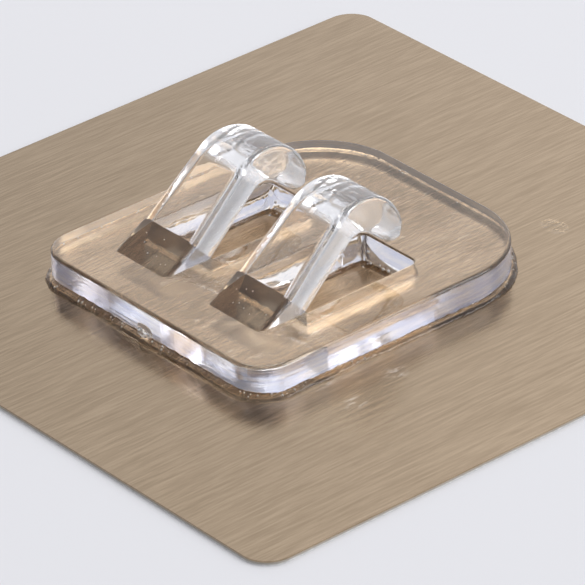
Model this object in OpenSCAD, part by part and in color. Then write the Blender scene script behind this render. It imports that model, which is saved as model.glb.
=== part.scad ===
// Adhesive wall hook: a clear moulded plate with two curled hooks, glued to a square brushed sticker.
// The part lies on its back. X runs across the hooks, Y up the wall in use, Z out of the wall.
// The origin is the middle of the release liner's back face. All sizes are millimetres.

/* [Sticker] */
// Side of the square sticker
sheet_w = 80; // [60:1:120]
// Radius of the sticker's corners
sheet_r = 3; // [1:0.5:10]
// Thickness of the release liner
liner_t = 0.12; // [0.06:0.01:0.3]
// Thickness of the wall adhesive
adhesive_t = 0.2; // [0.1:0.01:1]
// Thickness of the brushed metal-look face film
film_t = 0.18; // [0.1:0.01:0.5]

/* [Plate] */
// Width of the plate across the hooks
plate_w = 35.2; // [32:0.1:50]
// Length of the plate up the wall
plate_l = 38.7; // [36:0.1:50]
// Thickness of the plate
plate_t = 3.3; // [2.4:0.1:5]
// Radius of the two lower corners
lower_r = 4; // [2:0.5:8]
// Radius of the two upper corners
upper_r = 10; // [4:0.5:14]
// Radius of the plate's top edge
edge_r = 0.35; // [0.1:0.05:0.8]
// How far the plate sits below the middle of the sticker
plate_drop = 2.5; // [0:0.1:8]

/* [Hooks] */
// Distance between the centre lines of the hooks
hook_pitch = 14.7; // [11:0.1:20]
// Width of a hook at its foot
hook_w = 8.2; // [6:0.1:10]
// Width of a hook at its crest
crest_w = 7; // [5:0.1:8]
// Thickness of a hook's stem
stem_t = 3.2; // [2.4:0.1:3.6]
// Lean of the stem up from the plate, in degrees
stem_lean = 40; // [36:1:48]
// Height of the crest above the plate
crest_h = 9.2; // [8.6:0.1:12]
// Distance from the plate's lower edge to the crest
crest_y = 19.5; // [18.5:0.05:22]
// Outer radius of the bend at the crest
bend_r = 5.65; // [5.3:0.05:6.2]
// Radius of the rounded nose
nose_r = 1.6; // [1.2:0.05:1.8]
// Angle above level at which the bend ends in the nose, in degrees
nose_a = 17; // [8:1:24]
// Radius of the throat under the bend
throat_r = 1.95; // [1.5:0.05:2.2]
// How far the throat's centre sits down the stem from the bend's centre
throat_shift = 0.32; // [0.1:0.02:0.8]
// Distance from the plate's lower edge to the toe of the hook's foot
toe_y = 5.35; // [4.5:0.05:6]
// Height of the ramp on the hook's foot
ramp_h = 2.3; // [1.6:0.1:3]

/* [Windows] */
// Gap between the end of the bend and the window's upper wall
window_gap = 0.8; // [0.3:0.1:2]
// Draft of the window's walls, which open towards the plate's back, in degrees
window_draft = 5; // [1:0.5:7]

/* [Glue] */
// Thickness of the glue between the plate and the film
glue_t = 0.2; // [0.1:0.05:0.8]
// Radius of the bead squeezed out round the plate
bead_r = 0.9; // [0.4:0.05:1.5]
// How far the glue creeps into the windows
creep = 0.5; // [0.2:0.05:0.8]

/* [Hidden] */
$fn = 96;
// Room that a cut reaches past the face it cuts
spare = 1;

// Heights of the stacked layers
adhesive_z = liner_t;
film_z = adhesive_z + adhesive_t;
glue_z = film_z + film_t;
plate_z = glue_z + glue_t;
plate_top = plate_z + plate_t;

// Plate's lower edge and the middle of its length, on the sticker
plate_y0 = -plate_drop - plate_l / 2;
plate_mid = -plate_drop;

// Directions along the stem and square to its outer face, in the side view
along = [cos(stem_lean), sin(stem_lean)];
outward = [-sin(stem_lean), cos(stem_lean)];

// Centres of the bend, the throat and the nose, in the side view of Y and Z
bend = [plate_y0 + crest_y, plate_top + crest_h - bend_r];
throat = bend - throat_shift * along + (bend_r - stem_t - throat_r) * outward;
nose = bend + (bend_r - nose_r) * [cos(nose_a), sin(nose_a)];

// The straight inner face runs from the throat to the nose, just inside the nose's round, where the two cross cleanly
nose_cross = 0.03;
// Direction square to the inner face, which touches the throat
inner_a = atan2(nose[1] - throat[1], nose[0] - throat[0])
  + acos((throat_r + nose_r - nose_cross) / norm(nose - throat));
inner_n = [cos(inner_a), sin(inner_a)];

// Where a line along the stem, a distance out from the bend's centre, is at a height
function stem_at(out, z) = bend[0] + ((z - bend[1]) * along[0] - out) / along[1];

// Toe, ramp top and heel of the foot, in the side view
toe = [plate_y0 + toe_y, plate_top];
ramp = [stem_at(bend_r, plate_top + ramp_h), plate_top + ramp_h];
heel = [stem_at(bend_r - stem_t, plate_top), plate_top];

// Length along the stem from the top of the ramp to the crest, and half the width lost over each unit of it
crest_run = ([bend[0], bend[1] + bend_r] - ramp) * along;
narrowing = (hook_w - crest_w) / 2 / crest_run;
// Longest reach of anything on a hook from the bend's centre
reach = plate_l + crest_h;

// The window runs from the foot's heel to just past the bend
window_y1 = bend[0] + bend_r + window_gap;
// How far a window's walls move out for each unit of depth, and in all at the plate's back
window_slope = tan(window_draft);
window_flare = plate_t * window_slope;

// Rounded rectangle with one radius at its lower corners and one at its upper corners
module rounded(w, l, low_r, up_r) {
  for (side = [-1, 1]) {
    translate([side * (w / 2 - low_r), low_r - l / 2]) circle(low_r);
    translate([side * (w / 2 - up_r), l / 2 - up_r]) circle(up_r);
  }
  polygon([
    [low_r - w / 2, -l / 2],
    [w / 2 - low_r, -l / 2],
    [w / 2, low_r - l / 2],
    [w / 2, l / 2 - up_r],
    [w / 2 - up_r, l / 2],
    [up_r - w / 2, l / 2],
    [-w / 2, l / 2 - up_r],
    [-w / 2, low_r - l / 2],
  ]);
}

// Runs a section round the plate's edge: the section's X is the way out from the edge, its Y is height
module along_plate_edge() {
  w = plate_w / 2;
  l = plate_l / 2;
  // Each corner's centre and radius, and the start and length of the straight edge before it
  corners = [
    [[w - upper_r, l - upper_r], upper_r, [w, l - upper_r], plate_l - lower_r - upper_r],
    [[upper_r - w, l - upper_r], upper_r, [upper_r - w, l], plate_w - 2 * upper_r],
    [[lower_r - w, lower_r - l], lower_r, [-w, lower_r - l], plate_l - lower_r - upper_r],
    [[w - lower_r, lower_r - l], lower_r, [w - lower_r, -l], plate_w - 2 * lower_r],
  ];
  for (i = [0 : 3]) {
    translate(corners[i][0]) rotate(90 * i) rotate_extrude(angle = 90) translate([corners[i][1], 0]) children();
    translate(corners[i][2]) rotate([90, 0, 90 * i]) linear_extrude(corners[i][3]) children();
  }
}

// Side view of a hook: leaning stem, bend and nose, with the ramped foot, down to inside the plate
module hook_side() {
  // Inner face's touching point on the nose, carried on past the nose into the throat
  inner_end = nose - 2 * nose_r * inner_n;
  // The bend's slice of its disc, from some way inside the stem to the nose
  slice_end = bend - (throat_shift + spare) * along;
  bend_slice = [
    slice_end,
    inner_end,
    nose,
    bend + reach * [cos(nose_a), sin(nose_a)],
    bend + reach * [1, 2],
    slice_end + reach * outward,
  ];
  // The open throat, down from its round top
  open_throat = [
    throat + throat_r * outward,
    throat + throat_r * outward - reach * along,
    throat + reach * [cos(inner_a - 90), sin(inner_a - 90)],
    throat + throat_r * inner_n + reach * [cos(inner_a - 90), sin(inner_a - 90)],
    throat + throat_r * inner_n,
  ];
  difference() {
    union() {
      translate(bend) rotate(stem_lean) translate([-reach, bend_r - stem_t]) square([reach, stem_t]);
      intersection() {
        translate(bend) circle(bend_r);
        polygon(bend_slice);
      }
    }
    translate(throat) circle(throat_r);
    polygon(open_throat);
    translate([-reach, plate_top - spare - reach]) square([2 * reach, reach]);
  }
  translate(nose) circle(nose_r);
  polygon([toe, ramp, heel, heel - spare * [window_slope, 1], toe - [0, spare]]);
}

// Outline of a hook seen square to its stem: even at the foot, narrowing from the top of the ramp
module hook_front() {
  tip = hook_w / 2 - narrowing * reach;
  polygon([
    [-hook_w / 2, -reach],
    [hook_w / 2, -reach],
    [hook_w / 2, 0],
    [tip, reach],
    [-tip, reach],
    [-hook_w / 2, 0],
  ]);
}

module hook() {
  intersection() {
    translate([-hook_w / 2, 0, 0]) rotate([90, 0, 90]) linear_extrude(hook_w) hook_side();
    translate([0, ramp[0], ramp[1]]) rotate([stem_lean, 0, 0]) translate([0, 0, -reach])
      linear_extrude(2 * reach) hook_front();
  }
}

// Outline of a window at the plate's back, drawn in on all sides by a margin
module window_back(margin) {
  m = window_flare - margin;
  translate([-hook_w / 2 - m, heel[0] - m]) square([hook_w + 2 * m, window_y1 - heel[0] + 2 * m]);
}

// One pair of a window's drafted walls, from past the plate's back to past its top, in the view along them
module drafted_walls(low, high) {
  up = spare * window_slope;
  down = (plate_t + spare) * window_slope;
  polygon([
    [low - down, plate_z - spare],
    [high + down, plate_z - spare],
    [high - up, plate_top + spare],
    [low + up, plate_top + spare],
  ]);
}

// The mould's core that leaves a window
module window_core() {
  intersection() {
    translate([0, reach, 0]) rotate([90, 0, 0]) linear_extrude(2 * reach) drafted_walls(-hook_w / 2, hook_w / 2);
    translate([-hook_w, 0, 0]) rotate([90, 0, 90]) linear_extrude(2 * hook_w) drafted_walls(heel[0], window_y1);
  }
}

// Sets its children at both hooks
module at_hooks() {
  for (side = [-1, 1]) translate([side * hook_pitch / 2, 0, 0]) children();
}

// The corner left over outside a rounded edge
module edge_waste() {
  difference() {
    translate([-edge_r, -edge_r]) square(edge_r + spare);
    translate([-edge_r, -edge_r]) circle(edge_r);
  }
}

// Clear polycarbonate moulding: plate, both hooks, and the core windows under them
module hook_plate() {
  color([0.9, 0.92, 0.95, 0.35]) union() {
    difference() {
      translate([0, plate_mid, plate_z]) linear_extrude(plate_t) rounded(plate_w, plate_l, lower_r, upper_r);
      at_hooks() window_core();
      translate([0, plate_mid, plate_top]) along_plate_edge() edge_waste();
    }
    at_hooks() hook();
  }
}

// Clear glue under the plate, squeezed out in a bead round it and a little way into the windows
module bonding_glue() {
  color([0.8, 0.72, 0.58, 0.5]) union() {
    difference() {
      translate([0, plate_mid, glue_z]) linear_extrude(glue_t) rounded(plate_w, plate_l, lower_r, upper_r);
      at_hooks() translate([0, 0, glue_z - spare]) linear_extrude(glue_t + 2 * spare) window_back(creep);
    }
    translate([0, plate_mid, glue_z]) along_plate_edge() intersection() {
      circle(bead_r);
      square(bead_r);
    }
  }
}

// One layer of the square sticker
module sheet(z, t) {
  translate([0, 0, z]) linear_extrude(t) rounded(sheet_w, sheet_w, sheet_r, sheet_r);
}

module face_film() {
  color([0.69, 0.62, 0.52]) sheet(film_z, film_t);
}

module wall_adhesive() {
  color([0.85, 0.85, 0.8, 0.6]) sheet(adhesive_z, adhesive_t);
}

module release_liner() {
  color([0.95, 0.95, 0.94]) sheet(0, liner_t);
}

hook_plate();
bonding_glue();
face_film();
wall_adhesive();
release_liner();
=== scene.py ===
"""Clear twin hook bonded to a square brushed sticker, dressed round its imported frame.

Every piece is in metres in the part's own frame: X across the hooks, Y up the wall, Z out of it.
Sizes below are millimetres, as in the part's source, and become metres when a mesh is finished.
"""

import math

import bmesh
import bpy
from mathutils import Matrix, Vector, noise


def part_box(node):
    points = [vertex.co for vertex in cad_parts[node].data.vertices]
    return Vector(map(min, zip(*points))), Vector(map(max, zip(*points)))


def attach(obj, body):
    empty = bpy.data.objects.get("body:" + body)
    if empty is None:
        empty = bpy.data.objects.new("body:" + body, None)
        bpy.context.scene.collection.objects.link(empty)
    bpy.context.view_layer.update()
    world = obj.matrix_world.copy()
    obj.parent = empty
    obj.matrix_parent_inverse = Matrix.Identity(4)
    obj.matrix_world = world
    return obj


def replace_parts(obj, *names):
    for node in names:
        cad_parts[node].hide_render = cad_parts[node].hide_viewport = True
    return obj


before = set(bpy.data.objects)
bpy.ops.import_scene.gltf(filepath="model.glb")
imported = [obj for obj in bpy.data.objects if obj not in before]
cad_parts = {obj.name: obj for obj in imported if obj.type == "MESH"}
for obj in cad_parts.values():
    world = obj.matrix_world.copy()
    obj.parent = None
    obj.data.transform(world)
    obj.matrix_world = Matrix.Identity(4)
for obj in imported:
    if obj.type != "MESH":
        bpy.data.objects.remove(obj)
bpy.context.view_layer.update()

MM = 0.001
scene = bpy.context.scene

# Heights and edges that come from the frame
FILM_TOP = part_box("face_film")[1].z / MM
PLATE_LO, PLATE_HI = (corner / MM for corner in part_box("hook_plate"))

# The plate
PLATE_T = 3.3
PLATE_TOP = PLATE_LO.z + PLATE_T
PLATE_MIDDLE = (PLATE_LO.y + PLATE_HI.y) / 2
LOWER_R = 4.0
UPPER_R = 10.0
TOP_EDGE_R = 0.4
TOP_EDGE_STEPS = 8
BOTTOM_EDGE_R = 0.12
BOTTOM_EDGE_STEPS = 3
# Spacing of the points round the outer wall, and how far in from the outline a face still belongs to that wall
WALL_STEP = 0.2
WALL_DEPTH = 0.2

# The hooks
HOOK_X = 14.7 / 2
HOOK_W = 8.2
CREST_W = 7.0
STEM_T = 3.2
STEM_LEAN = math.radians(40)
CREST_H = 9.2
CREST_Y = 19.5
BEND_R = 5.65
NOSE_R = 1.6
NOSE_A = math.radians(17)
THROAT_R = 1.95
THROAT_SHIFT = 0.32
TOE_Y = 5.35
RAMP_H = 2.3
WINDOW_GAP = 0.8
WINDOW_CORNER_R = 0.8
# How much wider a window gets towards its back, for each unit of depth
WINDOW_DRAFT = math.tan(math.radians(5))
# Spacing of the points round a window's core, and how far the core runs past the plate
WINDOW_STEP = 0.3
CORE_PAST = 1
FOOT_DEPTH = 1.4
FOOT_SINK = 1.0
STEM_SINK = 0.15
# Rounded edges: of the foot, the stem, the bend, the inner side and the window's rim
FOOT_EDGE_R = 0.9
STEM_EDGE_R = 0.9
BEND_EDGE_R = 0.65
INNER_EDGE_R = 0.3
RIM_R = 0.25
# The largest an edge's radius may be, as a share of the section's depth
EDGE_SHARE = 0.45
# Steps along the foot, the stem and the bend, steps of the bend over which its edge gets sharper, and steps round the
# nose and the edges
FOOT_STEPS = 4
STEM_STEPS = 12
BEND_STEPS = 44
EASE_STEPS = 10
TIP_STEPS = 9
OUTER_EDGE_STEPS = 7
INNER_EDGE_STEPS = 4
RIM_STEPS = 5

# The stub left where the plastic was let into the mould, in the middle of the front wall: its height on the wall,
# its stretch along and up the wall, and its section, as radius and how far it stands out
GATE_H = 0.78
GATE_STRETCH = (1.2, 0.8)
GATE_SECTION = [
    (1.02, -0.3), (1.02, 0.03), (0.9, 0.1), (0.8, 0.24), (0.66, 0.3), (0.54, 0.22), (0.38, 0.05), (0.15, 0.12),
]
# Waves round the stub, as share of its radius, number in a turn and start, and how unevenly its end was torn
GATE_WAVES = [(0.06, 3, 0.7), (0.05, 5, 2)]
GATE_TEAR = 0.15
GATE_POINTS = 28

# Faces that meet at more degrees than this keep a sharp edge
PLASTIC_CREASE = 30.0
GLUE_CREASE = 50.0
# How far a face stands clear of one it would otherwise lie in
JOIN = 0.01
# Points nearer than this are one point, and a face that rises less than this is level
WELD = 1e-4
LEVEL = 1e-6
# How far a face's normal has to turn towards an axis to face along it, or may turn upwards and still be a wall's
FACES_BACK = 0.99
FACES_SIDE = 0.97
WALL_TURN = 0.9
# The moulding's finishes and the glue's, in the order of their material lists
CLEAR, BONDED, WALL, FROSTED, CLOUDY = range(5)
WET, CONTACT = range(2)

# The glue outside the plate: the width of its bead, how far it climbs the wall at least and on average, and what is
# added at the front and the back
BEAD_W = 0.7
LEAST_CLIMB = 0.15
BEAD_CLIMB = 0.3
FRONT_CLIMB = 0.2
BACK_CLIMB = 0.15
# The glue in the windows: how far it climbs the walls, what is added on the far wall and in its left corner and how
# soon that dies away, and how much of the wall always stays bare
WINDOW_CLIMB = 0.35
FAR_WALL_CLIMB = 0.25
FAR_WALL_RUN = 0.5
CORNER_CLIMB = 2.0
CORNER_RUN = 1.5
BARE_WALL = 0.5
# How far it creeps over the film there: a least share of CREEP, and more where it climbs higher
CREEP = 0.6
CREEP_LEAST = 0.6
CREEP_GAIN = 0.55
DRAWN_STEP = 0.2
# Waves in its line on the wall, its bead's width, its line in the windows and its edge there: amount, length and seed
LINE_WAVES = [(0.14, 3.0, 1), (0.13, 0.8, 2), (0.08, 0.35, 3)]
BEAD_WAVES = [(0.28, 4.0, 4), (0.16, 1.2, 5), (0.10, 0.5, 6)]
WINDOW_WAVES = [(0.12, 0.9, 7)]
CREEP_WAVES = [(0.25, 0.8, 8)]
# How far it stands clear of the film and the plate, and how far it reaches into a wall it wets
GLUE_LIFT = 0.01
GLUE_OVERLAP = 0.015
# Sections from the top on the wall to the film, as shares of width and height: the round bead and the hollow edge
BEAD_SECTION = [
    (0, 1), (0.14, 0.98), (0.34, 0.9), (0.56, 0.76), (0.76, 0.58),
    (0.9, 0.4), (0.98, 0.24), (1, 0.12), (0.98, 0.04), (0.95, 0),
]
HOLLOW_POWER = 2.4
HOLLOW_SECTION = [(u, (1 - u) ** HOLLOW_POWER) for u in (0, 0.05, 0.12, 0.22, 0.36, 0.52, 0.68, 0.82, 0.92, 1)]

# Bubbles: number on each square millimetre of their guide, smallest and largest radius, and seed
WINDOW_BUBBLES = (1.6, 0.07, 0.18, 3)
FOOT_BUBBLES = (0.4, 0.05, 0.10, 5)
EDGE_BUBBLES = (1.2, 0.04, 0.13, 8)

# Marks on the film, as middle and size: smears beside the plate and a dent behind it
SMEARS = [((21.8, -8.0), (1.5, 1.9)), ((23.3, -14.6), (1.6, 1.9)), ((18.9, -15.2), (0.5, 2.4))]
DENT = ((11.0, 23.1), (2.2, 1.5))
DENT_DEPTH = 0.15
BRUSH_DEPTH = 0.005
# Way across the film in which it is painted paler as painted light from that side, and how far from the middle the
# change runs
LIT_SIDE_WAY = (0.63, 0.77)
LIT_SIDE_RUN = 45
# Where the wet tone under the plate, lighter there as painted light, begins and ends to fade, from the plate's
# outline outwards
WET_AND_LIT_FADE = (-0.1, 0.3)
# Half the run of a change that looks sudden
SUDDEN = 0.01

# Clear plastics: how strongly each bends light
PLASTIC_IOR = 1.585
GLUE_IOR = 1.44

# Sockets of the colour mix and of the random number, which share their names with others
MIX_SHARE, MIX_FIRST, MIX_SECOND, MIX_OUT = 0, 6, 7, 2
RANDOM_LOW, RANDOM_HIGH, RANDOM_OUT = 2, 3, 1


# Finishes


class Wire:
    """An output of a finish's nodes. Sums, products and powers of wires add Math nodes."""

    def __init__(self, finish, socket):
        self.finish, self.socket = finish, socket

    def _math(self, operation, first, second):
        return self.finish.node("ShaderNodeMath", {"operation": operation}, {0: first, 1: second})

    def __add__(self, other):
        return self._math("ADD", self, other)

    def __sub__(self, other):
        return self._math("SUBTRACT", self, other)

    def __rsub__(self, other):
        return self._math("SUBTRACT", other, self)

    def __mul__(self, other):
        return self._math("MULTIPLY", self, other)

    def __pow__(self, other):
        return self._math("POWER", self, other)

    def __abs__(self):
        return self._math("ABSOLUTE", self, 0.0)

    def at_least(self, other):
        return self._math("MAXIMUM", self, other)

    __radd__, __rmul__ = __add__, __mul__


class Nodes:
    """A node tree that is written as calls and sums."""

    def __init__(self, tree):
        self.tree = tree

    def plug(self, socket, value):
        if isinstance(value, Wire):
            self.tree.links.new(value.socket, socket)
        else:
            socket.default_value = value

    def node(self, kind, settings, sockets, out=0):
        made = self.tree.nodes.new(kind)
        for key, value in settings.items():
            setattr(made, key, value)
        for key, value in sockets.items():
            self.plug(made.inputs[key], value)
        return Wire(self, made.outputs[out])

    def ramp(self, value, low, high, start=0.0, end=1.0):
        """Runs smoothly from start to end as the value goes from low to high."""
        sockets = {"Value": value, "From Min": low, "From Max": high, "To Min": start, "To Max": end}
        return self.node("ShaderNodeMapRange", {"interpolation_type": "SMOOTHSTEP"}, sockets)


class Finish(Nodes):
    """One node-built material."""

    def __init__(self, name):
        self.material = bpy.data.materials.new(name)
        self.material.use_nodes = True
        super().__init__(self.material.node_tree)
        self.shader = self.tree.nodes["Principled BSDF"]

    def place(self, scale=(1, 1, 1), turn=0.0, shift=(0, 0, 0)):
        """Object coordinates in millimetres, stretched, turned about Z and shifted."""
        at = self.node("ShaderNodeTexCoord", {}, {}, "Object")
        scaled = {"Vector": at, "Scale": [s / MM for s in scale], "Rotation": (0, 0, turn), "Location": shift}
        return self.node("ShaderNodeMapping", {}, scaled)

    def noise(self, where, scale, detail=3.0, rough=0.5):
        sockets = {"Vector": where, "Scale": scale, "Detail": detail, "Roughness": rough}
        return self.node("ShaderNodeTexNoise", {}, sockets)

    def across(self, shift=(0, 0, 0)):
        """The X and Y of the place, in millimetres."""
        where = self.place(shift=shift)
        return [self.node("ShaderNodeSeparateXYZ", {}, {0: where}, axis) for axis in "XY"]

    def inside_plate(self):
        """1 under the plate and 0 outside its rounded outline."""
        x, y = self.across((0, -PLATE_MIDDLE, 0))
        r = self.ramp(y, -SUDDEN, SUDDEN, LOWER_R, UPPER_R)
        beside = (abs(x) - PLATE_HI.x + r).at_least(0.0)
        beyond = (abs(y) - (PLATE_HI.y - PLATE_MIDDLE) + r).at_least(0.0)
        return self.ramp((beside ** 2 + beyond ** 2) ** 0.5 - r, *WET_AND_LIT_FADE, 1, 0)

    def spot(self, middle, size):
        """1 in the middle of a spot on the film, falling to 0 at its edge."""
        shift = (-middle[0] / size[0], -middle[1] / size[1], 0)
        where = self.place((1 / size[0], 1 / size[1], 0), shift=shift)
        away = self.node("ShaderNodeVectorMath", {"operation": "LENGTH"}, {0: where}, "Value")
        return self.ramp(away, 0, 1, 1, 0)

    def tint(self, share, first, second):
        sockets = {MIX_SHARE: share, MIX_FIRST: first, MIX_SECOND: second}
        return self.node("ShaderNodeMix", {"data_type": "RGBA"}, sockets, MIX_OUT)

    def bump(self, height, depth):
        return self.node("ShaderNodeBump", {}, {"Strength": 1.0, "Distance": depth * MM, "Height": height})

    def surface(self, **inputs):
        for key, value in inputs.items():
            self.plug(self.shader.inputs[key.replace("_", " ")], value)
        return self.material


def clear_plastic():
    f = Finish("clear_polycarbonate")
    flow = f.noise(f.place((1, 0.35, 0.6)), 0.5, 2.0)
    return f.surface(
        Base_Color=f.tint(flow, (0.985, 0.99, 1.0, 1), (1.0, 1.0, 1.0, 1)),
        Roughness=0.004 + 0.012 * f.noise(f.place(), 2.0),
        Normal=f.bump(flow, 0.02),
        IOR=PLASTIC_IOR,
        Transmission_Weight=1.0,
    )


def frosted_side():
    """The hooks' side faces and the gate's stub, which are slightly matt."""
    f = Finish("frosted_side")
    drag = f.noise(f.place((1, 0.5, 0.6)), 1.6, 3.0, 0.6)
    return f.surface(
        Base_Color=f.tint(f.ramp(drag, 0.35, 0.6), (0.95, 0.955, 0.975, 1), (1.0, 1.0, 1.0, 1)),
        Roughness=0.01 + 0.05 * drag,
        Normal=f.bump(drag, 0.04),
        IOR=PLASTIC_IOR,
        Transmission_Weight=0.8,
    )


def cloudy_bend():
    """The hooks' bends, where the plastic is a little cloudy."""
    f = Finish("cloudy_bend")
    flow = f.noise(f.place((0.4, 1.4, 1.4)), 1.0, 3.0, 0.6)
    return f.surface(
        Base_Color=f.tint(f.ramp(flow, 0.35, 0.6), (0.93, 0.94, 0.965, 1), (1.0, 1.0, 1.0, 1)),
        Roughness=0.01 + 0.04 * flow,
        Normal=f.bump(flow, 0.03),
        IOR=PLASTIC_IOR,
        Transmission_Weight=0.93,
    )


def bonded_face():
    f = Finish("bonded_underside")
    patch = f.noise(f.place(), 0.3, 2.0)
    return f.surface(
        Base_Color=f.tint(patch, (0.985, 0.98, 0.965, 1), (1.0, 0.995, 0.985, 1)),
        Roughness=0.0,
        IOR=PLASTIC_IOR / GLUE_IOR,
        Transmission_Weight=1.0,
    )


def drawn_edge():
    """The plate's outer wall: bands along its length, and the fine marks of the mould's draw across them."""
    f = Finish("drawn_edge")
    drawn = f.noise(f.place((0.10, 0.10, 3.4)), 1.0, 3.0, 0.6)
    marks = f.noise(f.place((7, 7, 0.15)), 1.0, 2.0)
    patch = f.noise(f.place((0.22, 0.22, 0.5)), 1.0, 2.0)
    bands = f.ramp(0.6 * drawn + 0.4 * patch, 0.4, 0.6)
    return f.surface(
        Base_Color=f.tint(bands, (0.62, 0.68, 0.95, 1), (0.98, 0.95, 0.98, 1)),
        Roughness=0.02 + 0.06 * drawn,
        Normal=f.bump(drawn + 0.35 * marks, 0.03),
        IOR=PLASTIC_IOR,
        Transmission_Weight=0.78,
    )


def trapped_air():
    f = Finish("trapped_air")
    film = f.noise(f.place(), 4.0, 2.0)
    return f.surface(
        Base_Color=f.tint(film, (0.93, 0.93, 0.94, 1), (1.0, 1.0, 0.99, 1)),
        Metallic=0.45,
        Roughness=0.12 + 0.10 * film,
    )


def wet_glue():
    f = Finish("clear_glue")
    skin = f.noise(f.place(), 1.6, 3.0)
    return f.surface(
        Base_Color=f.tint(skin, (0.97, 0.93, 0.86, 1), (0.99, 0.97, 0.93, 1)),
        Roughness=0.01 + 0.03 * skin,
        Normal=f.bump(skin, 0.04),
        IOR=GLUE_IOR,
        Transmission_Weight=1.0,
    )


def glue_contact():
    f = Finish("glue_contact")
    return f.surface(Base_Color=(0.95, 0.93, 0.9, 1), Alpha=0.0)


def brushed_film():
    """Metallised film brushed along Y, painted paler towards one corner as painted light; glue wets it under the
    plate and warms its tone, and it is painted lighter there as painted light.
    """
    f = Finish("brushed_champagne")
    fine = f.noise(f.place((4.6, 0.20, 1)), 1.0, 2.0, 0.6)
    groove = f.noise(f.place((22, 0.12, 1)), 1.0, 1.0)
    broad = f.noise(f.place((1.2, 0.04, 1)), 1.0, 2.0)
    cloud = f.noise(f.place(), 0.035, 2.0)
    grain = f.ramp(f.noise(f.place((6.5, 0.45, 1), shift=(3, 1, 0)), 1.0, 3.0, 0.65), 0.34, 0.66)
    smear = f.ramp(f.noise(f.place((0.16, 0.07, 1), shift=(5, 2, 0)), 1.0, 3.0), 0.36, 0.64)
    # Pale flecks under the plate: glue voids, and painted glints of light on the film's scratches
    fleck_and_glint = f.ramp(f.noise(f.place((1.5, 0.4, 1), shift=(7, 3, 0)), 1.0, 4.0, 0.7), 0.60, 0.70)
    wet_and_lit = f.inside_plate()
    streak = f.ramp(0.88 * fine + 0.12 * broad, 0.25, 0.75)
    x, y = f.across()
    # Painted light: the film is painted paler towards the side the light comes from
    painted_light_side = f.ramp(LIT_SIDE_WAY[0] * x + LIT_SIDE_WAY[1] * y, -LIT_SIDE_RUN, LIT_SIDE_RUN)
    dry_tone = f.tint(
        streak * 0.75 + cloud * 0.25,
        f.tint(painted_light_side, (0.284, 0.212, 0.138, 1), (0.373, 0.278, 0.181, 1)),
        f.tint(painted_light_side, (0.397, 0.307, 0.210, 1), (0.522, 0.404, 0.275, 1)),
    )
    # Under the plate the glue warms the film's tone, and the tone is painted lighter than the dry film as painted
    # light
    wet_and_lit_tone = f.tint(grain * 0.6 + smear * 0.4, (0.35, 0.243, 0.143, 1), (0.65, 0.493, 0.330, 1))
    patchy = f.ramp(f.noise(f.place((1.6, 0.8, 1), turn=0.5), 1.0, 4.0, 0.7), 0.46, 0.6)
    smears = sum(f.spot(*smear) for smear in SMEARS)
    dent = f.spot(*DENT) * patchy * (DENT_DEPTH / BRUSH_DEPTH)
    dry_tone = f.tint(smears * patchy, dry_tone, (0.82, 0.76, 0.68, 1))
    wet_and_lit_tone = f.tint(fleck_and_glint * 0.55, wet_and_lit_tone, (0.93, 0.84, 0.70, 1))
    return f.surface(
        Base_Color=f.tint(wet_and_lit, dry_tone, wet_and_lit_tone),
        Metallic=1.0,
        Roughness=0.13 + 0.10 * streak + 0.05 * wet_and_lit,
        Normal=f.bump(fine * 0.3 + groove - dent, BRUSH_DEPTH),
    )


def soft_adhesive():
    f = Finish("soft_adhesive")
    haze = f.noise(f.place(), 0.6, 3.0)
    return f.surface(
        Base_Color=f.tint(haze, (0.34, 0.30, 0.25, 1), (0.45, 0.41, 0.35, 1)),
        Roughness=0.35 + 0.2 * haze,
        Normal=f.bump(haze, 0.02),
    )


def liner_paper():
    f = Finish("liner_paper")
    fibre = f.noise(f.place((1, 1, 3)), 1.5, 5.0, 0.7)
    return f.surface(
        Base_Color=f.tint(f.ramp(fibre, 0.3, 0.7), (0.54, 0.53, 0.50, 1), (0.80, 0.795, 0.77, 1)),
        Roughness=0.5 + 0.2 * fibre,
        Normal=f.bump(fibre, 0.03),
    )


def pale_table():
    f = Finish("pale_table")
    tone = f.noise(f.place(), 0.004, 2.0)
    return f.surface(
        Base_Color=f.tint(tone, (0.70, 0.70, 0.716, 1), (0.72, 0.72, 0.736, 1)),
        Roughness=0.6,
    )


# Meshes in millimetres, and what is done to them


def placed(name, data):
    """An object in the scene that holds a mesh, a lamp or a camera."""
    made = bpy.data.objects.new(name, data)
    scene.collection.objects.link(made)
    return made


def loose(name, verts, faces):
    mesh = bpy.data.meshes.new(name)
    mesh.from_pydata(verts, [], faces)
    return placed(name, mesh)


def outward_faces(thing):
    b = bmesh.new()
    b.from_mesh(thing.data)
    bmesh.ops.remove_doubles(b, verts=b.verts, dist=WELD)
    bmesh.ops.recalc_face_normals(b, faces=b.faces)
    b.to_mesh(thing.data)
    b.free()
    return thing


def settle(thing):
    """Makes a thing's modifiers part of its mesh."""
    bpy.context.view_layer.update()
    shaped = thing.evaluated_get(bpy.context.evaluated_depsgraph_get())
    old, thing.data = thing.data, bpy.data.meshes.new_from_object(shaped)
    thing.modifiers.clear()
    bpy.data.meshes.remove(old)


def combine(base, tool, how):
    """Adds a solid to the base or cuts it away, and uses it up."""
    m = base.modifiers.new("combine", "BOOLEAN")
    m.object, m.operation, m.solver = tool, how, "EXACT"
    settle(base)
    bpy.data.objects.remove(tool)


def finished(thing, finishes, body, crease=PLASTIC_CREASE):
    """Turns a thing into metres, smooths it up to its creases, and hands it to its body."""
    thing.data.transform(Matrix.Scale(MM, 4))
    for finish in finishes:
        thing.data.materials.append(finish)
    thing.data.shade_smooth()
    thing.data.set_sharp_from_angle(angle=math.radians(crease))
    weighted = thing.modifiers.new("even", "WEIGHTED_NORMAL")
    weighted.keep_sharp = True
    settle(thing)
    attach(thing, body)
    return thing


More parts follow.
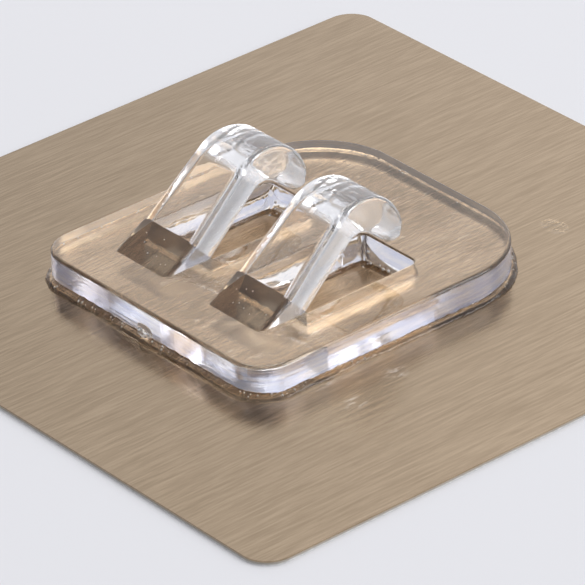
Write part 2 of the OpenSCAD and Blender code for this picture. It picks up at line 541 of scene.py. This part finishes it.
def plate_outline(inset, step):
    """Points round the plate with the way out at each, anticlockwise from the right side."""
    half_w = PLATE_HI.x
    half_l = PLATE_HI.y - PLATE_MIDDLE
    corners = [(1, 1, UPPER_R), (-1, 1, UPPER_R), (-1, -1, LOWER_R), (1, -1, LOWER_R)]
    points = []
    for quarter, (sx, sy, r) in enumerate(corners):
        centre = Vector((sx * (half_w - r), PLATE_MIDDLE + sy * (half_l - r)))
        count = round(r * math.pi / 2 / step)
        for i in range(count + 1):
            a = math.pi / 2 * (quarter + i / count)
            out = ray(a)
            points.append((centre + out * (r - inset), out))
    filled = []
    for (p, n), (q, m) in zip(points, points[1:] + points[:1]):
        count = max(1, round((q - p).length / step))
        filled.append((p, n))
        filled += [(p.lerp(q, i / count), n.lerp(m, i / count).normalized()) for i in range(1, count)]
    return filled


def inside_edge(point):
    """How far a point is inside the plate's outline."""
    across = PLATE_HI.x - abs(point.x)
    along = PLATE_HI.y - PLATE_MIDDLE - abs(point.y - PLATE_MIDDLE)
    r = UPPER_R if point.y > PLATE_MIDDLE else LOWER_R
    if across < r and along < r:
        return r - math.hypot(r - across, r - along)
    return min(across, along)


def stacked(name, rings):
    """A solid from closed rings of equal length, with the first and last ring filled."""
    n = len(rings[0])
    faces = [
        (k * n + i, k * n + (i + 1) % n, (k + 1) * n + (i + 1) % n, (k + 1) * n + i)
        for k in range(len(rings) - 1)
        for i in range(n)
    ]
    faces.append(tuple(reversed(range(n))))
    faces.append(tuple(range((len(rings) - 1) * n, len(rings) * n)))
    return outward_faces(loose(name, [v for ring in rings for v in ring], faces))


def quarter_steps(count):
    return [math.pi / 2 * i / count for i in range(count + 1)]


def rippled(point, waves, level=0.0):
    """A level at a point, with waves of several lengths added."""
    for amount, size, seed in waves:
        level += amount * noise.noise(Vector((point.x / size, point.y / size, seed)))
    return level


def bead_climb(point):
    """How far the glue climbs the plate's outer wall: unevenly, more at the back and most at the front."""
    near_front = max(0.0, 1 - (point.y - PLATE_LO.y) / LOWER_R)
    near_back = max(0.0, 1 - (PLATE_HI.y - point.y) / UPPER_R)
    climb = BEAD_CLIMB + FRONT_CLIMB * near_front + BACK_CLIMB * near_back
    return max(LEAST_CLIMB, climb + rippled(point, LINE_WAVES))


def plate_blank():
    """The plate before its windows: straight walls with the glue's line on them, and both edges rounded."""
    levels = []
    for a in quarter_steps(BOTTOM_EDGE_STEPS):
        levels.append((BOTTOM_EDGE_R * (1 - math.sin(a)), PLATE_LO.z + BOTTOM_EDGE_R * (1 - math.cos(a))))
    levels.append((0.0, None))
    for a in quarter_steps(TOP_EDGE_STEPS):
        levels.append((TOP_EDGE_R * (1 - math.cos(a)), PLATE_TOP - TOP_EDGE_R * (1 - math.sin(a))))
    rings = []
    for inset, z in levels:
        outline = [p for p, _ in plate_outline(inset, WALL_STEP)]
        rings.append([(p.x, p.y, PLATE_LO.z + bead_climb(p) if z is None else z) for p in outline])
    return stacked("clear_plate", rings)


def ray(angle):
    return Vector((math.cos(angle), math.sin(angle)))


# The side view of a hook, in Y and Z
ALONG = ray(STEM_LEAN)
OUTWARD = Vector((-ALONG.y, ALONG.x))
BEND = Vector((PLATE_LO.y + CREST_Y, PLATE_TOP + CREST_H - BEND_R))
THROAT = BEND - THROAT_SHIFT * ALONG + (BEND_R - STEM_T - THROAT_R) * OUTWARD
NOSE = BEND + (BEND_R - NOSE_R) * ray(NOSE_A)
NOSE_WAY = NOSE - THROAT
INNER_A = math.atan2(NOSE_WAY.y, NOSE_WAY.x) + math.acos((THROAT_R + NOSE_R) / NOSE_WAY.length)


def stem_at(out, z):
    """How far up the wall a line along the stem is at a height."""
    return BEND.x + ((z - BEND.y) * ALONG.x - out) / ALONG.y


TOE = Vector((PLATE_LO.y + TOE_Y, PLATE_TOP))
RAMP = Vector((stem_at(BEND_R, PLATE_TOP + RAMP_H), PLATE_TOP + RAMP_H))
HEEL = Vector((stem_at(BEND_R - STEM_T, PLATE_TOP), PLATE_TOP))
WINDOW_END = BEND.x + BEND_R + WINDOW_GAP
CREST_RUN = (BEND + Vector((0, BEND_R)) - RAMP).dot(ALONG)
NARROWING = (HOOK_W - CREST_W) / 2 / CREST_RUN


def half_width(point):
    return HOOK_W / 2 - NARROWING * max(0.0, (point - RAMP).dot(ALONG))


def hook_stations():
    """Pairs of outer and inner points from inside the plate to the tip of the nose, with the outer edge's radius."""
    start = (PLATE_TOP - STEM_SINK - BEND.y - BEND_R * OUTWARD.y) / ALONG.y
    pairs = []
    for i in range(STEM_STEPS):
        at = BEND + start * (1 - i / STEM_STEPS) * ALONG
        pairs.append((at + BEND_R * OUTWARD, at + (BEND_R - STEM_T) * OUTWARD, STEM_EDGE_R))
    first = math.pi / 2 + STEM_LEAN
    touch = THROAT + THROAT_R * ray(INNER_A)
    nose_touch = NOSE - NOSE_R * ray(INNER_A)
    for i in range(BEND_STEPS + 1):
        a = first + (NOSE_A - first) * i / BEND_STEPS
        share = max(0.0, (INNER_A - a) / (INNER_A - NOSE_A))
        inner = THROAT + THROAT_R * ray(max(a, INNER_A)) + share * (nose_touch - touch)
        ease = min(1.0, i / EASE_STEPS)
        pairs.append((BEND + BEND_R * ray(a), inner, STEM_EDGE_R + (BEND_EDGE_R - STEM_EDGE_R) * ease))
    half_turn = (NOSE_A - (INNER_A - math.pi)) / 2
    for i in range(1, TIP_STEPS):
        turn = half_turn * i / TIP_STEPS
        outer, inner = ray(NOSE_A - turn), ray(INNER_A - math.pi + turn)
        pairs.append((NOSE + NOSE_R * outer, NOSE + NOSE_R * inner, BEND_EDGE_R))
    return pairs


def hook_ring(x, outer, inner, edge_r, proud=0.0):
    """One section of a hook: flat faces with rounded outer edges and eased inner ones."""
    depth = (outer - inner).length
    up = (outer - inner) / depth
    ring = []
    for turn, sx in enumerate((1, -1, -1, 1)):
        if turn < 2:
            end, into, r, count = outer, -1, edge_r, OUTER_EDGE_STEPS
        else:
            end, into, r, count = inner, 1, INNER_EDGE_R, INNER_EDGE_STEPS
        r = min(r, depth * EDGE_SHARE)
        centre_x = sx * (half_width(end) + proud - r)
        centre = end + into * r * up
        for i in range(count + 1):
            a = math.pi / 2 * (turn + i / count)
            at = centre + r * math.sin(a) * up
            ring.append((x + centre_x + r * math.cos(a), at.x, at.y))
    return ring


def hook_arm(x):
    return stacked("arm", [hook_ring(x, *pair) for pair in hook_stations()])


def hook_foot(x):
    """The ramp in front of a stem, with the stem's rounded outer edges carried down to the plate."""
    way = (RAMP - TOE).normalized()
    under = Vector((way.y, -way.x)) * FOOT_DEPTH
    rings = []
    for i in range(FOOT_STEPS + 1):
        outer = TOE + way * (-FOOT_SINK + ((RAMP - TOE).length + FOOT_SINK) * i / FOOT_STEPS)
        rings.append(hook_ring(x, outer, outer + under, FOOT_EDGE_R, JOIN))
    return stacked("foot", rings)


def window_outline(x, step, wider=0.0):
    """Points round a window with the way into it at each, moved out from its top edge, with two rounded corners."""
    low, high = HEEL.x - 2 * JOIN - wider, WINDOW_END + wider
    half = HOOK_W / 2 + JOIN + wider
    corners = [Vector((x + s * half, y)) for s, y in ((-1, low), (1, low), (1, high), (-1, high))]
    ways = [Vector((0, 1)), Vector((-1, 0)), Vector((0, -1)), Vector((1, 0))]
    lengths = [HOOK_W, WINDOW_END - HEEL.x]
    points = []
    for k in range(4):
        count = round(lengths[k % 2] / step)
        for i in range(count):
            way = ways[k] if i else (ways[k] + ways[k - 1])
            at = corners[k].lerp(corners[(k + 1) % 4], i / count)
            side = math.copysign(half - WINDOW_CORNER_R, at.x - x)
            off = at - Vector((x + side, high - WINDOW_CORNER_R))
            if off.x * side > 0 and off.y > 0:
                way = -off.normalized()
                at = at - off - way * WINDOW_CORNER_R
            points.append((at, way))
    return points


def window_climb(x, point):
    """How far the glue is drawn up a window's wall: highest in the upper left corner."""
    left = x - HOOK_W / 2
    far_wall = math.exp(-max(0.0, WINDOW_END - point.y) / FAR_WALL_RUN)
    corner = math.exp(-math.hypot(point.x - left, point.y - WINDOW_END) / CORNER_RUN)
    climb = WINDOW_CLIMB + (FAR_WALL_CLIMB + CORNER_CLIMB * corner) * far_wall
    return min(PLATE_T - BARE_WALL, rippled(point, WINDOW_WAVES, climb))


def window_block(x):
    """The core of a window: drafted walls with the glue's line on them, and a rounded rim except at the heel."""
    deep = window_outline(x, WINDOW_STEP, WINDOW_DRAFT * (PLATE_T + CORE_PAST))
    rings = [[(p.x, p.y, PLATE_LO.z - CORE_PAST) for p, _ in deep]]
    top = window_outline(x, WINDOW_STEP)
    bottom = window_outline(x, WINDOW_STEP, WINDOW_DRAFT * PLATE_T)
    line = []
    for (p, _), (q, _) in zip(top, bottom):
        climb = window_climb(x, q)
        at = q.lerp(p, climb / PLATE_T)
        line.append((at.x, at.y, PLATE_LO.z + climb))
    rings.append(line)
    for a in quarter_steps(RIM_STEPS):
        out, z = RIM_R * (1 - math.cos(a)), PLATE_TOP - RIM_R * (1 - math.sin(a))
        rim = []
        for p, way in window_outline(x, WINDOW_STEP, WINDOW_DRAFT * (PLATE_TOP - z)):
            heel_side = p.y < HEEL.x + WINDOW_STEP / 2
            rim.append((p.x - way.x * out, p.y - (0 if heel_side else way.y * out), z))
        rings.append(rim)
    rings.append([(px, py, PLATE_TOP + CORE_PAST) for px, py, _ in rings[-1]])
    return stacked("window", rings)


def under_glue(point):
    """Whether a point on the plate's walls is below the glue's line."""
    at = Vector((point.x, point.y))
    if inside_edge(at) < WALL_DEPTH:
        return point.z < PLATE_LO.z + bead_climb(at)
    x = math.copysign(HOOK_X, at.x)
    return point.z < PLATE_LO.z + window_climb(x, at)


def gate_stub():
    """The torn stub of the gate, a little out of round."""
    rings = []
    for r, out in GATE_SECTION:
        ring = []
        for k in range(GATE_POINTS):
            a = math.tau * k / GATE_POINTS
            uneven = r * sum((share * math.sin(count * a + start) for share, count, start in GATE_WAVES), 1)
            along, high = GATE_STRETCH[0] * uneven * math.cos(a), GATE_STRETCH[1] * uneven * math.sin(a)
            torn = out * (1 + GATE_TEAR * math.sin(2 * a))
            ring.append((along, PLATE_LO.y - torn, PLATE_LO.z + GATE_H + high))
        rings.append(ring)
    return stacked("gate", rings)


def moulding_finish(face):
    """Which of the moulding's finishes a face has."""
    at, normal = face.center, face.normal
    if at.y < PLATE_LO.y - 2 * JOIN:
        return FROSTED
    if normal.z < -FACES_BACK and abs(at.z - PLATE_LO.z) < JOIN:
        return BONDED
    if abs(normal.z) < WALL_TURN and at.z < PLATE_TOP - TOP_EDGE_R:
        if under_glue(at):
            return BONDED
        return WALL if inside_edge(at) < WALL_DEPTH else CLEAR
    if abs(normal.x) > FACES_SIDE and at.z > PLATE_TOP:
        return FROSTED
    if at.z > PLATE_TOP + JOIN and (at.yz - BEND).dot(ALONG) > 0:
        return CLOUDY
    return CLEAR


def clear_moulding():
    moulding = plate_blank()
    for x in (-HOOK_X, HOOK_X):
        combine(moulding, window_block(x), "DIFFERENCE")
    for x in (-HOOK_X, HOOK_X):
        combine(moulding, hook_foot(x), "UNION")
        combine(moulding, hook_arm(x), "UNION")
    combine(moulding, gate_stub(), "UNION")
    for face in moulding.data.polygons:
        face.material_index = moulding_finish(face)
    return moulding


def glue_bed():
    """The glue: a bed under the plate, an uneven bead round it, and glue drawn up the windows' walls."""
    floor_z, bed_z = FILM_TOP + GLUE_LIFT, PLATE_LO.z - GLUE_LIFT
    b = bmesh.new()

    def ring(points):
        return [b.verts.new(p) for p in points]

    def skin(first, second):
        n = len(first)
        return [b.faces.new((first[i], first[(i + 1) % n], second[(i + 1) % n], second[i])) for i in range(n)]

    def loop_edges(verts):
        return [b.edges.get((v, w)) or b.edges.new((v, w)) for v, w in zip(verts, verts[1:] + verts[:1])]

    def skirt(edge, section, draft):
        """Glue that climbs a wall from under the plate and runs out over the film."""
        rings = [ring([(*(p - way * GLUE_OVERLAP), bed_z) for p, way, _, _ in edge])]
        for out, high in section:
            points = []
            for p, way, climb, reach in edge:
                z = floor_z + (bed_z - floor_z + climb) * high
                lean = draft * max(0.0, z - bed_z)
                points.append((*(p + way * (lean + reach * out - GLUE_OVERLAP * (1 - out))), z))
            rings.append(ring(points))
        rings.append(ring([(*(p - way * GLUE_OVERLAP), floor_z) for p, way, _, _ in edge]))
        contact.extend(skin(rings[0], rings[1]))
        for first, second in zip(rings[1:], rings[2:]):
            skin(first, second)
        below.update(zip(rings[0], rings[-1]))
        return loop_edges(rings[0])

    below, contact = {}, []
    bead = []
    for p, way in plate_outline(0.0, WALL_STEP):
        bead.append((p, way, bead_climb(p), BEAD_W * rippled(p, BEAD_WAVES, 1)))
    tops = skirt(bead, BEAD_SECTION, 0.0)
    for x in (-HOOK_X, HOOK_X):
        drawn = []
        for p, way in window_outline(x, DRAWN_STEP, WINDOW_DRAFT * PLATE_T):
            climb = window_climb(x, p)
            drawn.append((p, way, climb, CREEP * rippled(p, CREEP_WAVES, CREEP_LEAST + CREEP_GAIN * climb)))
        tops += skirt(drawn, HOLLOW_SECTION, WINDOW_DRAFT)
    bmesh.ops.triangle_fill(b, edges=tops, use_beauty=True)
    for face in [f for f in b.faces if all(v in below for v in f.verts)]:
        b.faces.new([below[v] for v in reversed(face.verts)])
    bmesh.ops.recalc_face_normals(b, faces=b.faces)
    for face in b.faces:
        heights = [v.co.z for v in face.verts]
        face.material_index = CONTACT if max(heights) - min(heights) < LEVEL else WET
    for face in contact:
        face.material_index = CONTACT
    mesh = bpy.data.meshes.new("glue_bed")
    b.to_mesh(mesh)
    b.free()
    return placed("glue_bed", mesh)


def bubble_maker():
    """Scatters small round bubbles over guide faces."""
    tree = bpy.data.node_groups.new("bubble_maker", "GeometryNodeTree")
    sockets = [
        ("Guide", "NodeSocketGeometry"),
        ("Bubbles per square metre", "NodeSocketFloat"),
        ("Smallest radius", "NodeSocketFloat"),
        ("Largest radius", "NodeSocketFloat"),
        ("Seed", "NodeSocketInt"),
        ("Finish", "NodeSocketMaterial"),
    ]
    for name, kind in sockets:
        tree.interface.new_socket(name, in_out="INPUT", socket_type=kind)
    tree.interface.new_socket("Bubbles", in_out="OUTPUT", socket_type="NodeSocketGeometry")
    g = Nodes(tree)
    given = tree.nodes.new("NodeGroupInput")
    take = {name: Wire(g, given.outputs[name]) for name, _ in sockets}
    spots = g.node(
        "GeometryNodeDistributePointsOnFaces",
        {"distribute_method": "RANDOM"},
        {"Mesh": take["Guide"], "Density": take["Bubbles per square metre"], "Seed": take["Seed"]},
    )
    radius = g.node(
        "FunctionNodeRandomValue",
        {"data_type": "FLOAT"},
        {RANDOM_LOW: take["Smallest radius"], RANDOM_HIGH: take["Largest radius"], "Seed": take["Seed"]},
        RANDOM_OUT,
    )
    ball = g.node("GeometryNodeMeshIcoSphere", {}, {"Radius": 1.0, "Subdivisions": 2})
    spread = g.node("GeometryNodeInstanceOnPoints", {}, {"Points": spots, "Instance": ball, "Scale": radius})
    real = g.node("GeometryNodeRealizeInstances", {}, {"Geometry": spread})
    dressed = g.node("GeometryNodeSetMaterial", {}, {"Geometry": real, "Material": take["Finish"]})
    result = tree.nodes.new("NodeGroupOutput")
    g.plug(result.inputs["Bubbles"], dressed)
    return tree


def guide_strips(strips):
    """Faces from strips of matching points."""
    verts, faces = [], []
    for first, second in strips:
        base, n = len(verts), len(first)
        verts += [*first, *second]
        faces += [(base + i, base + i + 1, base + n + i + 1, base + n + i) for i in range(n - 1)]
    return verts, faces


def glue_bubbles(name, strips, tree, finish, count, smallest, largest, seed):
    """A cluster of bubbles along guide strips; count is for each square millimetre of the strips."""
    cluster = loose(name, *guide_strips(strips))
    cluster.data.transform(Matrix.Scale(MM, 4))
    maker = cluster.modifiers.new("bubbles", "NODES")
    maker.node_group = tree
    values = [None, count / MM ** 2, smallest * MM, largest * MM, seed, finish]
    inputs = [item for item in tree.interface.items_tree if item.in_out == "INPUT"]
    for item, value in zip(inputs, values):
        if value is not None:
            maker[item.identifier] = value
    settle(cluster)
    cluster.data.shade_smooth()
    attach(cluster, "sticker")


def window_strips():
    """Up the glue on the windows' upper walls."""
    width, steps = 0.9 * HOOK_W, 12
    low_out, low_up = 0.35, 0.12
    high_out, high_share = 0.02, 0.8
    for x in (-HOOK_X, HOOK_X):
        low, high = [], []
        for i in range(steps + 1):
            at = Vector((x + width * (i / steps - 0.5), WINDOW_END))
            low.append((at.x, at.y - low_out, FILM_TOP + low_up))
            high.append((at.x, at.y - high_out, PLATE_LO.z + high_share * window_climb(x, at)))
        yield low, high


def foot_strips():
    """Just under the ramps, where the moulding has small voids."""
    depth, from_toe, from_ramp, from_side = 0.16, 0.9, 0.3, 0.5
    way = (RAMP - TOE).normalized()
    under = Vector((way.y, -way.x)) * depth
    for x in (-HOOK_X, HOOK_X):
        ends = [TOE + way * from_toe + under, RAMP - way * from_ramp + under]
        yield [[(x + side * (HOOK_W / 2 - from_side), at.x, at.y) for side in (-1, 1)] for at in ends]


def edge_strips():
    """Round the plate's edge, from just under it out into the bead."""
    step, inner, outer = 0.5, -0.3, 0.25
    z = (FILM_TOP + PLATE_LO.z) / 2
    rim = plate_outline(0.0, step)
    yield [[(*(p + way * shift), z) for p, way in rim + rim[:1]] for shift in (inner, outer)]


plastic_finishes = [clear_plastic(), bonded_face(), drawn_edge(), frosted_side(), cloudy_bend()]
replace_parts(finished(clear_moulding(), plastic_finishes, "sticker"), "hook_plate")
glue_finishes = [wet_glue(), glue_contact()]
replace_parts(finished(glue_bed(), glue_finishes, "sticker", GLUE_CREASE), "bonding_glue")

air, bubble_tree = trapped_air(), bubble_maker()
glue_bubbles("window_bubbles", list(window_strips()), bubble_tree, air, *WINDOW_BUBBLES)
glue_bubbles("foot_bubbles", list(foot_strips()), bubble_tree, air, *FOOT_BUBBLES)
glue_bubbles("edge_bubbles", list(edge_strips()), bubble_tree, air, *EDGE_BUBBLES)

sheets = {"face_film": brushed_film(), "wall_adhesive": soft_adhesive(), "release_liner": liner_paper()}
for node_name, finish in sheets.items():
    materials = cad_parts[node_name].data.materials
    materials.clear()
    materials.append(finish)


# Table, light and camera

TABLE_HALF = 1.5
LAMP_AIM = Vector((0, 0, 0.004))
# How bright the room is in front of the sticker and behind it
ROOM_FRONT = 0.42
ROOM_BACK = 1.02

table_corners = [(sx * TABLE_HALF, sy * TABLE_HALF, 0) for sx, sy in ((-1, -1), (1, -1), (1, 1), (-1, 1))]
table = loose("table", table_corners, [(0, 1, 2, 3)])
table.data.materials.append(pale_table())


def softbox(name, place, size, power):
    light = bpy.data.lights.new(name, "AREA")
    light.shape = "RECTANGLE"
    light.size, light.size_y = size
    light.energy = power
    lamp = placed(name, light)
    lamp.location = place
    lamp.rotation_euler = (LAMP_AIM - Vector(place)).to_track_quat("-Z", "Y").to_euler()


softbox("overhead", place=(-0.22, 0.18, 0.70), size=(0.42, 0.42), power=1.4)
softbox("right", place=(0.60, 0.50, 0.46), size=(0.52, 0.52), power=2.8)

world = bpy.data.worlds.new("room")
scene.world = world
world.use_nodes = True
room = Nodes(world.node_tree)
background = world.node_tree.nodes["Background"]
background.inputs["Color"].default_value = (0.95, 0.955, 1.0, 1)
way = room.node("ShaderNodeTexCoord", {}, {}, "Generated")
toward_back = room.node("ShaderNodeSeparateXYZ", {}, {0: way}, "Y")
brightness = room.ramp(toward_back, low=-0.6, high=0.4, start=ROOM_FRONT, end=ROOM_BACK)
room.plug(background.inputs["Strength"], brightness)

# The camera: its direction from the sticker, roll, distance and aim in metres, and its focal length in pixels of a
# picture this wide
VIEW_AZIMUTH = math.radians(50.79)
VIEW_HEIGHT = math.radians(30.12)
VIEW_ROLL = math.radians(-2.12)
VIEW_DISTANCE = 0.5633
VIEW_AIM = Vector((2.91, -5.15, FILM_TOP)) * MM
FOCAL_PIXELS = 5600
PICTURE_PIXELS = 585
SENSOR = 36.0

back = Vector((
    math.sin(VIEW_AZIMUTH) * math.cos(VIEW_HEIGHT),
    -math.cos(VIEW_AZIMUTH) * math.cos(VIEW_HEIGHT),
    math.sin(VIEW_HEIGHT),
))
level_right = (-back).cross(Vector((0, 0, 1))).normalized()
level_up = level_right.cross(-back)
right = math.cos(VIEW_ROLL) * level_right + math.sin(VIEW_ROLL) * level_up
up = math.cos(VIEW_ROLL) * level_up - math.sin(VIEW_ROLL) * level_right
lens = bpy.data.cameras.new("camera")
lens.sensor_width = SENSOR
lens.lens = FOCAL_PIXELS * SENSOR / PICTURE_PIXELS
camera = placed("camera", lens)
turned = Matrix((right, up, back)).transposed().to_4x4()
camera.matrix_world = Matrix.Translation(VIEW_AIM + back * VIEW_DISTANCE) @ turned
scene.camera = camera

scene.view_settings.view_transform = "Standard"

# Light goes to and fro inside the clear plastic many times before it leaves
scene.cycles.max_bounces = 40
scene.cycles.glossy_bounces = 32
scene.cycles.transmission_bounces = 40
scene.cycles.transparent_max_bounces = 32
